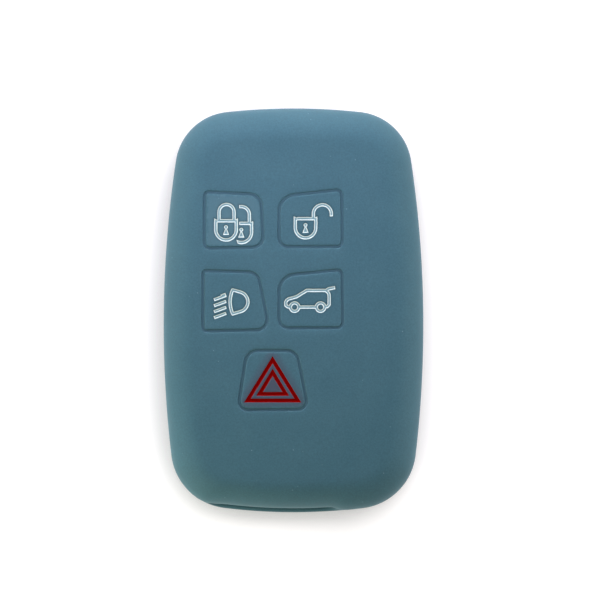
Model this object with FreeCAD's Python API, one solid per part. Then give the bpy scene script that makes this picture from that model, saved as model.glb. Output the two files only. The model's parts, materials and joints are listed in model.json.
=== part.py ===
import FreeCAD, Part
import math
import os

# A moulded silicone cover for a car key fob, lying on its back with the buttons up.
# X runs across the cover, Y along it towards the top end, Z up out of the button face.
# The origin is on the resting plane, under the middle of the cover. All sizes are in millimetres.

Vector = FreeCAD.Vector

# Overall size
LENGTH = 84.0
WIDTH = 54.0
THICKNESS = 18.0

# Outline, made of eight arcs that run into each other
SIDE_RADIUS = 230.0
TOP_RADIUS = 130.0
BOTTOM_RADIUS = 116.0
TOP_CORNER_RADIUS = 11.9
BOTTOM_CORNER_RADIUS = 12.6
WIDEST_Y = -3.0

# Crown of the front face, and the rolled edges
CROWN_RADIUS_ACROSS = 260.0
CROWN_RADIUS_ALONG = 900.0
FRONT_EDGE_RADIUS = 6.5
BACK_EDGE_RADIUS = 4.0

# Walls of the sleeve
FRONT_WALL = 1.4
SIDE_WALL = 1.6
BACK_WALL = 1.6
LEAST_INNER_RADIUS = 0.5

# Mouth in the back, where the fob is pushed in
LIP_WIDTH = 8.0
MOUTH_CORNER_RADIUS = 7.0
LIP_EDGE_RADIUS = 0.7
LIP_EDGE_LIMIT = 0.45

# Slot for the key ring in the bottom end, and the front edge drawn back above it
SLOT_WIDTH = 26.0
SLOT_HEIGHT = 4.7
SLOT_FLOOR = 4.8
DRAWN_BACK_WIDTH = 31.0
DRAWN_BACK_DEPTH = 0.9
DRAWN_BACK_TAPER = 4.0

# Button pads: two columns and three rows, the last with one pad in the middle
PANEL_X = -4.33
COLUMN_PITCH = 15.9
FIRST_ROW_Y = 18.82
ROW_PITCH = 16.75
PAD_EDGE_RADIUS = 0.25
GROOVE_WIDTH = 0.65
WEB_THICKNESS = 1.05
BOSS_INSET = 1.6
BOSS_HEIGHT = 0.6

# Symbols: a channel in the pad, filled with ink to just below the pad's face
STROKE = 0.69
INK_THICKNESS = 0.25
INK_SINK = 0.1

# Padlock symbols
BODY_WIDTH = 4.25
BODY_SIDE = 1.86
HORN_RISE = 0.18
HORN_NOTCH = 0.15
SHACKLE_WIDTH = 3.12
SHACKLE_SHIFT = 0.1
SHACKLE_LEG = 1.82
OPEN_SHACKLE_WIDTH = 3.73
OPEN_SHACKLE_LEG = 1.01
OPEN_SHACKLE_TIP = 0.54
OPEN_SHACKLE_INSET = 0.5
REAR_SHACKLE_RADIUS = 1.65
REAR_LOCK_STEP = (3.17, -0.53)
REAR_LOCK_CUT = -0.45
REAR_LOCK_TIP_ANGLE = 37.0
REAR_LOCK_HEEL_ANGLE = 18.0
KEYHOLE_RADIUS = 0.41
KEYHOLE_DROP = 1.32
KEYHOLE_SKIRT_TOP = 0.12
KEYHOLE_SKIRT_BOTTOM = 1.32
KEYHOLE_SKIRT_HEIGHT = 1.64
LOCK_AT = (-1.72, -0.2)
UNLOCK_AT = (-1.12, 0.24)

# Lamp symbol: the two ends of its lens, how far each side bulges, and the beams
LAMP_TOP = (-0.33, 2.22)
LAMP_BOTTOM = (-0.33, -2.76)
LAMP_LENS_BULGE = 0.55
LAMP_BACK_BULGE = 3.15
LAMP_BACK_RADIUS = 2.1
BEAM_COUNT = 4
BEAM_START = (-1.68, 1.08)
BEAM_RUN = (-2.54, -0.92)
BEAM_PITCH = 1.24
BEAM_WIDTH = 0.66
BEAM_STEP_LENGTH = 1.1
BEAM_STEP_RISE = 0.22

# Tailgate symbol: a car seen from the side with its rear door up
CAR_NOSE = [(-4.1, -1.36), (-4.85, -1.3), (-5.22, -0.98), (-5.22, -0.3), (-5.05, 0.02), (-4.62, 0.34)]
CAR_ROOF = [(-4.62, 0.34), (-3.07, 0.75), (-0.85, 2.1), (3.1, 2.1)]
CAR_TAIL = [(3.1, 2.1), (3.64, 1.55), (3.76, 1.2), (3.76, -0.85), (3.4, -1.25), (2.8, -1.36)]
CAR_RAISED_DOOR = [(3.1, 2.1), (3.78, 2.46), (5.03, 2.68)]
WHEEL_RADIUS = 0.87
FRONT_WHEEL_AT = (-3.4, -1.36)
REAR_WHEEL_AT = (2.0, -1.36)

# Warning symbol: two triangles, one inside the other
TRIANGLE_BASE = 11.9
TRIANGLE_HEIGHT = 9.62
TRIANGLE_FOOT = -4.4
INNER_TRIANGLE_BASE = 6.9
INNER_TRIANGLE_HEIGHT = 5.65
INNER_TRIANGLE_FOOT = -3.04
TRIANGLE_BAR = 0.8

# Cutting tools reach this far past what they cut
OVERRUN = 1.0

# How an outline that is moved out goes round its corners
ROUND_CORNERS = 0
SHARP_CORNERS = 2

QUARTER_TURN = 90.0

# Corners of each pad from its centre, clockwise from the upper left, each with its corner radius
PAD_CORNERS = {
    "lock": [(-5.8, 5.45, 0.6), (5.2, 4.9, 2.2), (5.8, -5.4, 2.0), (-5.9, -5.6, 0.8)],
    "unlock": [(-6.3, 4.55, 3.2), (6.1, 5.9, 0.9), (6.2, -5.25, 0.8), (-6.3, -5.3, 1.6)],
    "lights": [(-6.15, 5.85, 0.4), (4.6, 5.5, 2.0), (6.95, -5.8, 1.9), (-6.15, -6.0, 0.4)],
    "tailgate": [(-6.3, 4.8, 3.2), (6.15, 6.05, 0.8), (6.3, -5.35, 0.9), (-6.3, -5.4, 1.7)],
    "hazard": [(-5.02, 6.05, 2.3), (4.72, 6.05, 2.3), (7.02, -5.53, 1.5), (-6.82, -5.63, 1.5)],
}

PAD_CENTRES = {
    "lock": (PANEL_X - COLUMN_PITCH / 2, FIRST_ROW_Y),
    "unlock": (PANEL_X + COLUMN_PITCH / 2, FIRST_ROW_Y),
    "lights": (PANEL_X - COLUMN_PITCH / 2, FIRST_ROW_Y - ROW_PITCH),
    "tailgate": (PANEL_X + COLUMN_PITCH / 2, FIRST_ROW_Y - ROW_PITCH),
    "hazard": (PANEL_X, FIRST_ROW_Y - 2 * ROW_PITCH),
}


# Plane geometry

def line(start, end):
    return Part.LineSegment(Vector(*start), Vector(*end)).toShape()


def arc(start, through, end):
    return Part.Arc(Vector(*start), Vector(*through), Vector(*end)).toShape()


def along(centre, direction, distance):
    """The point at a distance from centre, in the direction of another point."""
    dx = direction[0] - centre[0]
    dy = direction[1] - centre[1]
    share = distance / math.hypot(dx, dy)
    return (centre[0] + dx * share, centre[1] + dy * share)


def circles_meet(first, first_radius, second, second_radius, up):
    """Where two circles cross, on the right and on the upper or lower side."""
    dx = second[0] - first[0]
    dy = second[1] - first[1]
    gap = math.hypot(dx, dy)
    reach = (first_radius**2 - second_radius**2 + gap**2) / (2 * gap)
    rise = math.sqrt(first_radius**2 - reach**2)
    foot = (first[0] + dx * reach / gap, first[1] + dy * reach / gap)
    turn = (-dy * rise / gap, dx * rise / gap)
    crossings = [(foot[0] + turn[0], foot[1] + turn[1]), (foot[0] - turn[0], foot[1] - turn[1])]
    return max(crossings, key=lambda p: p[0] + up * p[1])


def mirrored(point):
    return (-point[0], point[1])


# Outline of the cover

TOP_CENTRE = (0.0, LENGTH / 2 - TOP_RADIUS)
BOTTOM_CENTRE = (0.0, BOTTOM_RADIUS - LENGTH / 2)
SIDE_CENTRE = (WIDTH / 2 - SIDE_RADIUS, WIDEST_Y)


def corner_arc(end_centre, end_radius, side_radius, corner_radius, up):
    """Tangent points and middle of the right-hand corner between an end arc and the side arc."""
    centre = circles_meet(
        end_centre, end_radius - corner_radius, SIDE_CENTRE, side_radius - corner_radius, up
    )
    on_end = along(end_centre, centre, end_radius)
    on_side = along(SIDE_CENTRE, centre, side_radius)
    middle = ((on_end[0] + on_side[0]) / 2, (on_end[1] + on_side[1]) / 2)
    return on_end, along(centre, middle, corner_radius), on_side


def cover_outline(inset, top_corner, bottom_corner):
    """The cover's outline at z 0, moved in by inset, with the corner radii given."""
    side_radius = SIDE_RADIUS - inset
    half_length = LENGTH / 2 - inset
    half_width = WIDTH / 2 - inset
    top = corner_arc(TOP_CENTRE, TOP_RADIUS - inset, side_radius, top_corner, 1)
    bottom = corner_arc(BOTTOM_CENTRE, BOTTOM_RADIUS - inset, side_radius, bottom_corner, -1)
    edges = [
        arc(mirrored(top[0]), (0, half_length), top[0]),
        arc(top[0], top[1], top[2]),
        arc(top[2], (half_width, WIDEST_Y), bottom[2]),
        arc(bottom[2], bottom[1], bottom[0]),
        arc(bottom[0], (0, -half_length), mirrored(bottom[0])),
        arc(mirrored(bottom[0]), mirrored(bottom[1]), mirrored(bottom[2])),
        arc(mirrored(bottom[2]), (-half_width, WIDEST_Y), mirrored(top[2])),
        arc(mirrored(top[2]), mirrored(top[1]), mirrored(top[0])),
    ]
    return Part.Wire(edges)


def prism(wire, low, high):
    """A flat outline made a solid from one height to another."""
    face = Part.Face(wire)
    face.translate(Vector(0, 0, low))
    return face.extrude(Vector(0, 0, high - low))


# Outer form and the space inside it

def crowned_block(inset, floor, crown, front_radius, back_radius):
    """The cover's outline as a solid with a crowned top, both of its rims rolled."""
    drop = THICKNESS - crown
    across = CROWN_RADIUS_ACROSS - drop
    ring = CROWN_RADIUS_ALONG - CROWN_RADIUS_ACROSS
    centre = Vector(0, 0, crown - CROWN_RADIUS_ALONG + drop)
    dome = Part.makeTorus(ring, across, centre, Vector(1, 0, 0))
    outline = cover_outline(inset, TOP_CORNER_RADIUS - inset, BOTTOM_CORNER_RADIUS - inset)
    block = prism(outline, floor, crown + OVERRUN).common(dome)
    solid = block.Solids[0]
    half_height = (floor + crown) / 2
    front = [e for e in solid.Edges if e.BoundBox.ZMin > half_height]
    back = [e for e in solid.Edges if e.BoundBox.ZMax < half_height]
    return solid.makeFillet(front_radius, front).makeFillet(back_radius, back)


OUTER = crowned_block(0.0, 0.0, THICKNESS, FRONT_EDGE_RADIUS, BACK_EDGE_RADIUS)
POCKET = crowned_block(
    SIDE_WALL,
    BACK_WALL,
    THICKNESS - FRONT_WALL,
    max(FRONT_EDGE_RADIUS - FRONT_WALL, LEAST_INNER_RADIUS),
    max(BACK_EDGE_RADIUS - BACK_WALL, LEAST_INNER_RADIUS),
)


def lowered(solid, depth):
    copy = solid.copy()
    copy.translate(Vector(0, 0, -depth))
    return copy


# Button pads

def pad_outline(name, grow):
    """A pad's outline in place at z 0, with straight sides and round corners, moved out by grow."""
    corners = PAD_CORNERS[name]
    centre_x, centre_y = PAD_CENTRES[name]
    count = len(corners)
    sides = []
    for i in range(count):
        x0, y0, _ = corners[i]
        x1, y1, _ = corners[(i + 1) % count]
        size = math.hypot(x1 - x0, y1 - y0)
        normal = (-(y1 - y0) / size, (x1 - x0) / size)
        sides.append((normal, normal[0] * x0 + normal[1] * y0 + grow))
    rounds = []
    for i in range(count):
        radius = max(corners[i][2] + grow, min(corners[i][2], LEAST_INNER_RADIUS))
        rounds.append(corner_round(sides[i - 1], sides[i], radius))
    edges = []
    for i in range(count):
        start, middle, end = rounds[i]
        edges.append(arc(start, middle, end))
        edges.append(line(end, rounds[(i + 1) % count][0]))
    wire = Part.Wire(edges)
    wire.translate(Vector(centre_x, centre_y, 0))
    return wire


def sides_meet(first, second, inset):
    """Where two straight sides cross, each a normal and a distance, after both move in."""
    (ax, ay), a = first
    (bx, by), b = second
    cross = ax * by - ay * bx
    a = a - inset
    b = b - inset
    return ((a * by - b * ay) / cross, (ax * b - bx * a) / cross)


def corner_round(first, second, radius):
    """Start, middle and end of the arc that rounds the corner between two straight sides."""
    corner = sides_meet(first, second, 0.0)
    centre = sides_meet(first, second, radius)
    start = (centre[0] + first[0][0] * radius, centre[1] + first[0][1] * radius)
    end = (centre[0] + second[0][0] * radius, centre[1] + second[0][1] * radius)
    return start, along(centre, corner, radius), end


def front_column(wire):
    """A flat outline as a column that stands through the front wall."""
    return prism(wire, THICKNESS / 2, THICKNESS + OVERRUN)


def make_pad(name, symbol):
    """A pad, flush with the front face, with a pressing boss behind it and the symbol's channel in it."""
    plate = front_column(pad_outline(name, 0.0)).common(OUTER).cut(POCKET)
    rim = [e for e in plate.Edges if all(is_on_front(v.Point) for v in e.Vertexes)]
    plate = plate.makeFillet(PAD_EDGE_RADIUS, rim)
    boss = front_column(pad_outline(name, -BOSS_INSET)).common(POCKET).cut(lowered(POCKET, BOSS_HEIGHT))
    channel = symbol.cut(lowered(OUTER, INK_SINK + INK_THICKNESS))
    return plate.fuse(boss).cut(channel).removeSplitter()


def is_on_front(point):
    """Whether a point of the front wall is nearer its outer face than its inner one."""
    reach = CROWN_RADIUS_ALONG - CROWN_RADIUS_ACROSS + math.sqrt(CROWN_RADIUS_ACROSS**2 - point.x**2)
    front = THICKNESS - CROWN_RADIUS_ALONG + math.sqrt(reach**2 - point.y**2)
    return point.z > front - FRONT_WALL / 2


def make_web(name):
    """The thin web at the foot of the groove, which carries a pad."""
    opening = front_column(pad_outline(name, GROOVE_WIDTH))
    groove = opening.cut(front_column(pad_outline(name, 0.0)))
    return groove.common(lowered(POCKET, -WEB_THICKNESS)).cut(POCKET)


# Symbols

def stroke(edges, width=STROKE):
    """A line of ink with square ends along joined edges, as its two sides."""
    wire = Part.Wire(edges)
    return [wire.makeOffset2D(side * width / 2, ROUND_CORNERS, True, True) for side in (1, -1)]


def bar(start, end, width=STROKE):
    """A straight line of ink with square ends."""
    aside = along((0, 0), (start[1] - end[1], end[0] - start[0]), width / 2)
    near = [(start[0] + aside[0], start[1] + aside[1]), (start[0] - aside[0], start[1] - aside[1])]
    far = [(end[0] - aside[0], end[1] - aside[1]), (end[0] + aside[0], end[1] + aside[1])]
    return Part.Face(Part.Wire(polyline(near + far + near[:1])))


def loop(edges, width=STROKE, corners=ROUND_CORNERS):
    """A closed line of ink along joined edges."""
    wire = Part.Wire(edges)
    outside = Part.Face(wire.makeOffset2D(width / 2, corners))
    return outside.cut(Part.Face(wire.makeOffset2D(-width / 2, corners)))


def disc(centre, radius):
    return Part.Face(Part.Wire(Part.makeCircle(radius, Vector(*centre))))


def ring(centre, radius, width=STROKE):
    """A round line of ink."""
    return disc(centre, radius + width / 2).cut(disc(centre, radius - width / 2))


def polyline(points):
    return [line(points[i], points[i + 1]) for i in range(len(points) - 1)]


def moved(faces, offset):
    for face in faces:
        face.translate(Vector(*offset))
    return faces


def padlock_body():
    """A shield-shaped lock body, with the middle of its top bar at the origin."""
    half = BODY_WIDTH / 2
    inner = half - STROKE / 2
    shield = [
        line((-half, 0), (-half, -BODY_SIDE)),
        arc((-half, -BODY_SIDE), (0, -BODY_SIDE - half), (half, -BODY_SIDE)),
        line((half, -BODY_SIDE), (half, 0)),
    ]
    return stroke(shield) + [bar((-inner, 0), (inner, 0)), horn(-1), horn(1)]


def horn(side):
    """The top corner of a lock body, left or right, which rises to a point on its outer side."""
    inner = side * (BODY_WIDTH - STROKE) / 2
    outer = side * (BODY_WIDTH + STROKE) / 2
    tip = (outer, STROKE / 2 + HORN_RISE)
    notch = (inner, STROKE / 2 - HORN_NOTCH)
    foot = (inner, -STROKE / 2)
    return Part.Face(Part.Wire(polyline([foot, (outer, -STROKE / 2), tip, notch, foot])))


def closed_padlock():
    half = SHACKLE_WIDTH / 2
    left = SHACKLE_SHIFT - half
    right = SHACKLE_SHIFT + half
    shackle = [
        line((left, 0), (left, SHACKLE_LEG)),
        arc((left, SHACKLE_LEG), (SHACKLE_SHIFT, SHACKLE_LEG + half), (right, SHACKLE_LEG)),
        line((right, SHACKLE_LEG), (right, 0)),
    ]
    return padlock_body() + stroke(shackle)


def open_padlock():
    near = BODY_WIDTH / 2 - OPEN_SHACKLE_INSET
    far = near + OPEN_SHACKLE_WIDTH
    crest = OPEN_SHACKLE_LEG + OPEN_SHACKLE_WIDTH / 2
    shackle = [
        line((near, 0), (near, OPEN_SHACKLE_LEG)),
        arc((near, OPEN_SHACKLE_LEG), ((near + far) / 2, crest), (far, OPEN_SHACKLE_LEG)),
        line((far, OPEN_SHACKLE_LEG), (far, OPEN_SHACKLE_LEG - OPEN_SHACKLE_TIP)),
    ]
    return padlock_body() + stroke(shackle)


def rear_padlock():
    """The part of a second padlock that shows behind the first, open to the left."""
    half = BODY_WIDTH / 2
    inner = half - STROKE / 2
    side = [
        line((half, 0), (half, -BODY_SIDE)),
        arc(
            (half, -BODY_SIDE),
            below_body(half, -REAR_LOCK_TIP_ANGLE),
            below_body(half, REAR_LOCK_TIP_ANGLE),
        ),
    ]
    tip = below_body(inner, REAR_LOCK_TIP_ANGLE)
    heel = below_body(half + STROKE / 2, REAR_LOCK_HEEL_ANGLE)
    beyond = below_body(BODY_WIDTH, 2 * REAR_LOCK_TIP_ANGLE - REAR_LOCK_HEEL_ANGLE)
    waste = Part.Face(Part.Wire(polyline([tip, heel, beyond, tip])))
    body = [half_stroke.cut(waste) for half_stroke in stroke(side)]
    leg = SHACKLE_SHIFT + SHACKLE_WIDTH / 2
    turn = leg - REAR_SHACKLE_RADIUS
    bend = REAR_SHACKLE_RADIUS * math.sqrt(0.5)
    crest = (turn, SHACKLE_LEG + REAR_SHACKLE_RADIUS)
    shackle = [
        line((leg, 0), (leg, SHACKLE_LEG)),
        arc((leg, SHACKLE_LEG), (turn + bend, SHACKLE_LEG + bend), crest),
        line(crest, (REAR_LOCK_CUT, crest[1])),
    ]
    return body + stroke(shackle) + [bar((REAR_LOCK_CUT, 0), (inner, 0)), horn(1)]


def below_body(radius, angle):
    """A point round the lower end of a lock body, at an angle to the left of its lowest point."""
    turn = math.radians(angle)
    return (-radius * math.sin(turn), -BODY_SIDE - radius * math.cos(turn))


def keyhole():
    """A round hole over a flared skirt, placed under the top bar of a lock body."""
    top = -KEYHOLE_DROP
    foot = top - KEYHOLE_SKIRT_HEIGHT
    upper = KEYHOLE_SKIRT_TOP / 2
    lower = KEYHOLE_SKIRT_BOTTOM / 2
    skirt = polyline([(-upper, top), (upper, top), (lower, foot), (-lower, foot), (-upper, top)])
    return [Part.Face(Part.Wire(skirt)), disc((0, top), KEYHOLE_RADIUS)]


def rear_lock_at():
    return (LOCK_AT[0] + REAR_LOCK_STEP[0], LOCK_AT[1] + REAR_LOCK_STEP[1])


def tangent_point(point, centre, radius, up):
    """Where a line from a point touches a circle, on the right and on the upper or lower side."""
    middle = ((point[0] + centre[0]) / 2, (point[1] + centre[1]) / 2)
    reach = math.hypot(point[0] - centre[0], point[1] - centre[1]) / 2
    return circles_meet(centre, radius, middle, reach, up)


def lamp():
    """A lamp seen from the side: a shallow lens on the left and a deep, round back on the right."""
    middle_x = (LAMP_TOP[0] + LAMP_BOTTOM[0]) / 2
    middle_y = (LAMP_TOP[1] + LAMP_BOTTOM[1]) / 2
    crest = (middle_x + LAMP_BACK_BULGE, middle_y)
    back = (crest[0] - LAMP_BACK_RADIUS, middle_y)
    upper = tangent_point(LAMP_TOP, back, LAMP_BACK_RADIUS, 1)
    lower = tangent_point(LAMP_BOTTOM, back, LAMP_BACK_RADIUS, -1)
    lens = (middle_x - LAMP_LENS_BULGE, middle_y)
    sides = [
        line(LAMP_TOP, upper),
        arc(upper, crest, lower),
        line(lower, LAMP_BOTTOM),
        arc(LAMP_BOTTOM, lens, LAMP_TOP),
    ]
    return [loop(sides)]


def beam_end(start):
    return (start[0] + BEAM_RUN[0], start[1] + BEAM_RUN[1])


def beams():
    """Slanting bars of light, one under the other, with a short step along the top of the first."""
    bars = []
    for i in range(BEAM_COUNT):
        start = (BEAM_START[0], BEAM_START[1] - i * BEAM_PITCH)
        bars.append(bar(start, beam_end(start), BEAM_WIDTH))
    above = (BEAM_START[0] + BEAM_RUN[1], BEAM_START[1] - BEAM_RUN[0])
    start = along(BEAM_START, above, BEAM_STEP_RISE)
    step = bar(start, along(start, beam_end(start), BEAM_STEP_LENGTH), BEAM_WIDTH)
    return bars + [step]


def car():
    sill_start = (FRONT_WHEEL_AT[0] + WHEEL_RADIUS, FRONT_WHEEL_AT[1])
    sill_end = (REAR_WHEEL_AT[0] - WHEEL_RADIUS, REAR_WHEEL_AT[1])
    wheels = [ring(FRONT_WHEEL_AT, WHEEL_RADIUS), ring(REAR_WHEEL_AT, WHEEL_RADIUS)]
    lines = [CAR_NOSE + CAR_ROOF[1:], CAR_TAIL, CAR_RAISED_DOOR]
    body = [side for points in lines for side in stroke(polyline(points))]
    return body + [bar(sill_start, sill_end)] + wheels


def triangle(base, height, foot):
    """A triangular ring whose outer edge has the base and height given."""
    slope = math.atan2(height, base / 2)
    inset = TRIANGLE_BAR / 2
    half = base / 2 - inset / math.tan(slope / 2)
    rise = half * math.tan(slope)
    low = foot + inset
    corners = [(-half, low), (half, low), (0, low + rise), (-half, low)]
    return [loop(polyline(corners), TRIANGLE_BAR, SHARP_CORNERS)]


# Ink of each symbol, by the pad that carries it
INKS = {
    "lock": {
        "lock_front_padlock_ink": moved(closed_padlock(), LOCK_AT),
        "lock_rear_padlock_ink": moved(rear_padlock(), rear_lock_at()),
        "lock_keyholes_ink": moved(keyhole(), LOCK_AT) + moved(keyhole(), rear_lock_at()),
    },
    "unlock": {
        "unlock_padlock_ink": moved(open_padlock(), UNLOCK_AT),
        "unlock_keyhole_ink": moved(keyhole(), UNLOCK_AT),
    },
    "lights": {"lamp_ink": lamp(), "lamp_beams_ink": beams()},
    "tailgate": {"car_ink": car()},
    "hazard": {
        "hazard_outer_ink": triangle(TRIANGLE_BASE, TRIANGLE_HEIGHT, TRIANGLE_FOOT),
        "hazard_inner_ink": triangle(INNER_TRIANGLE_BASE, INNER_TRIANGLE_HEIGHT, INNER_TRIANGLE_FOOT),
    },
}


def ink_column(name, faces):
    """A symbol's outline in place on its pad, as a column through the front wall."""
    place = Vector(*PAD_CENTRES[name], THICKNESS / 2)
    columns = []
    for face in faces:
        for outline in face.Faces:
            column = outline.extrude(Vector(0, 0, THICKNESS / 2 + OVERRUN))
            column.translate(place)
            columns.append(column)
    if len(columns) == 1:
        return columns[0]
    return columns[0].fuse(columns[1:]).removeSplitter()


def make_ink(column):
    """The ink in a symbol's channel, following the crown of the pad."""
    return column.common(lowered(OUTER, INK_SINK)).cut(lowered(OUTER, INK_SINK + INK_THICKNESS))


# Sleeve

def lower_edge_y(x):
    """Y of the outline's bottom edge at a distance from the middle."""
    centre = circles_meet(
        BOTTOM_CENTRE,
        BOTTOM_RADIUS - BOTTOM_CORNER_RADIUS,
        SIDE_CENTRE,
        SIDE_RADIUS - BOTTOM_CORNER_RADIUS,
        -1,
    )
    tangent = along(BOTTOM_CENTRE, centre, BOTTOM_RADIUS)
    if abs(x) <= tangent[0]:
        return BOTTOM_CENTRE[1] - math.sqrt(BOTTOM_RADIUS**2 - x**2)
    return centre[1] - math.sqrt(BOTTOM_CORNER_RADIUS**2 - (abs(x) - centre[0]) ** 2)


def ring_slot():
    """The key ring's slot through the bottom end wall, with round ends."""
    half = (SLOT_WIDTH - SLOT_HEIGHT) / 2
    middle = SLOT_FLOOR + SLOT_HEIGHT / 2
    start_y = -LENGTH / 2 - OVERRUN
    end_y = lower_edge_y(abs(PANEL_X) + SLOT_WIDTH / 2) + 2 * SIDE_WALL
    left = PANEL_X - half
    right = PANEL_X + half
    low = SLOT_FLOOR
    high = SLOT_FLOOR + SLOT_HEIGHT
    edges = [
        line((left, low), (right, low)),
        arc((right, low), (right + SLOT_HEIGHT / 2, middle), (right, high)),
        line((right, high), (left, high)),
        arc((left, high), (left - SLOT_HEIGHT / 2, middle), (left, low)),
    ]
    profile = Part.Face(Part.Wire(edges))
    profile.rotate(Vector(0, 0, 0), Vector(1, 0, 0), QUARTER_TURN)
    profile.translate(Vector(0, start_y, 0))
    return profile.extrude(Vector(0, end_y - start_y, 0))


def drawn_back_edge():
    """What is missing from the front edge above the slot, where the lower lip shows past it."""
    left = PANEL_X - DRAWN_BACK_WIDTH / 2
    right = PANEL_X + DRAWN_BACK_WIDTH / 2
    below = -LENGTH / 2 - OVERRUN
    left_end = (left, lower_edge_y(left))
    right_end = (right, lower_edge_y(right))
    left_bend = drawn_back_point(left + DRAWN_BACK_TAPER)
    right_bend = drawn_back_point(right - DRAWN_BACK_TAPER)
    edges = [
        line(left_end, left_bend),
        arc(left_bend, drawn_back_point(PANEL_X), right_bend),
        line(right_bend, right_end),
        line(right_end, (right, below)),
        line((right, below), (left, below)),
        line((left, below), left_end),
    ]
    return prism(Part.Wire(edges), SLOT_FLOOR + SLOT_HEIGHT / 2, THICKNESS)


def drawn_back_point(x):
    return (x, lower_edge_y(x) + DRAWN_BACK_DEPTH)


def make_sleeve():
    mouth = cover_outline(LIP_WIDTH, MOUTH_CORNER_RADIUS, MOUTH_CORNER_RADIUS)
    shell = OUTER.cut(POCKET).cut(prism(mouth, -OVERRUN, THICKNESS / 2)).Solids[0]
    rim = [e for e in shell.Edges if is_mouth_edge(e)]
    shell = shell.makeFillet(min(LIP_EDGE_RADIUS, LIP_EDGE_LIMIT * BACK_WALL), rim)
    openings = [front_column(pad_outline(name, GROOVE_WIDTH)) for name in PAD_CENTRES]
    return shell.cut(openings + [ring_slot(), drawn_back_edge()])


def is_mouth_edge(edge):
    """Whether an edge is one of the two rims of the mouth in the back."""
    box = edge.BoundBox
    flat = box.ZLength < OVERRUN / 2
    inside = max(abs(box.XMin), abs(box.XMax)) < WIDTH / 2 - LIP_WIDTH + OVERRUN / 2
    short = max(abs(box.YMin), abs(box.YMax)) < LENGTH / 2 - LIP_WIDTH + OVERRUN / 2
    return flat and inside and short and box.ZMax < BACK_WALL + OVERRUN / 2


# Every node, written to its own file

def make_nodes():
    nodes = {"cover_sleeve": make_sleeve()}
    for name in PAD_CENTRES:
        columns = {ink: ink_column(name, faces) for ink, faces in INKS[name].items()}
        symbol = Part.makeCompound([s for column in columns.values() for s in column.Solids])
        nodes[name + "_pad"] = make_pad(name, symbol)
        nodes[name + "_web"] = make_web(name)
        for ink, column in columns.items():
            nodes[ink] = make_ink(column)
    return nodes


def main():
    os.makedirs("parts", exist_ok=True)
    for name, shape in make_nodes().items():
        solids = shape.Solids
        body = solids[0] if len(solids) == 1 else Part.makeCompound(solids)
        state = "valid" if body.isValid() else "not valid"
        print(name, len(solids), "solids", round(body.Volume, 3), "mm3", state)
        body.exportStep("parts/" + name + ".step")


main()
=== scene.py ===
import bmesh
import bpy
import json
import math
import numpy as np
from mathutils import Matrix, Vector
from mathutils.geometry import delaunay_2d_cdt

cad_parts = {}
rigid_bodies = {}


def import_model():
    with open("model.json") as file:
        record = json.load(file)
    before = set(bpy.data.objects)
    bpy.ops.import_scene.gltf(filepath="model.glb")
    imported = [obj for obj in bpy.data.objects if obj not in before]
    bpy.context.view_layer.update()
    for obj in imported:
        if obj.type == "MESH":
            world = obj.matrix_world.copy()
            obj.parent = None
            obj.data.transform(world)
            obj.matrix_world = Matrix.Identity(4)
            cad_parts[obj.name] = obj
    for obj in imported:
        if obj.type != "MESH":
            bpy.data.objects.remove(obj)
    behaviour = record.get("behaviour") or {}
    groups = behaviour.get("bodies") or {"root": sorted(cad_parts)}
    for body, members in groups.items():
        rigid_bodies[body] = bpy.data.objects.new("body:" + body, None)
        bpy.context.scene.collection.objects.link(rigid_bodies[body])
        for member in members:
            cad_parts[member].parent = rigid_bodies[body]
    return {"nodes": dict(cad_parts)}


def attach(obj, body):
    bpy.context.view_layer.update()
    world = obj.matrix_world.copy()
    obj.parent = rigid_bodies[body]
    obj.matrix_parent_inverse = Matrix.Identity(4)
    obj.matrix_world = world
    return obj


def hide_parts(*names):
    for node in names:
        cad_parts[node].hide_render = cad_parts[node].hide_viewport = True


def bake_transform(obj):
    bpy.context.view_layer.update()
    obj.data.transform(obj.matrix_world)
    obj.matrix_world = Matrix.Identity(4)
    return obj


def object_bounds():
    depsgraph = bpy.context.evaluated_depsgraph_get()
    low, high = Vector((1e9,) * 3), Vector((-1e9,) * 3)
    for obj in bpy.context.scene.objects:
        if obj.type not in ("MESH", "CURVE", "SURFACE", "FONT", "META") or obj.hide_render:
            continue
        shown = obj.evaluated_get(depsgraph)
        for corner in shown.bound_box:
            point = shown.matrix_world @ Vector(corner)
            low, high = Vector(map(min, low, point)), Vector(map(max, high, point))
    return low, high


# A moulded silicone cover for a car key fob, lying on its back with the buttons up.
# X runs across the cover, Y along it towards the top end, Z up out of the button face.
# Shapes and patterns are worked out in millimetres and become metres when a piece or material is made.
# The floor, the lamps and the camera are in metres.

for leftover in list(bpy.data.objects):
    bpy.data.objects.remove(leftover)
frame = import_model()
CAD_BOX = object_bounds()
MM = 0.001
WIDTH, LENGTH, THICKNESS = (CAD_BOX[1] - CAD_BOX[0]) / MM

# Outline of the cover: eight arcs that run into each other, and the points drawn on each
SIDE_ARC = 230.0
TOP_ARC = 130.0
BOTTOM_ARC = 116.0
TOP_CORNER = 11.9
BOTTOM_CORNER = 12.6
WIDEST_Y = -3.0
SIDE_STEPS = 44
CORNER_STEPS = 30
END_STEPS = 44

# Crown of the front face, rolled edges and walls
CROWN_ACROSS = 260.0
CROWN_ALONG = 900.0
FRONT_ROLL = 6.5
FRONT_HOLLOW = 4.4
BACK_ROLL = 4.0
FRONT_WALL = 1.4
SIDE_WALL = 1.6
BACK_WALL = 1.6
ROLL_STEPS = 14
WALL_STEPS = 10

# Mouth in the back
LIP_WIDTH = 8.0
MOUTH_CORNER = 7.0
LIP_EDGE = 0.7
LIP_STEPS = 6

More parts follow.
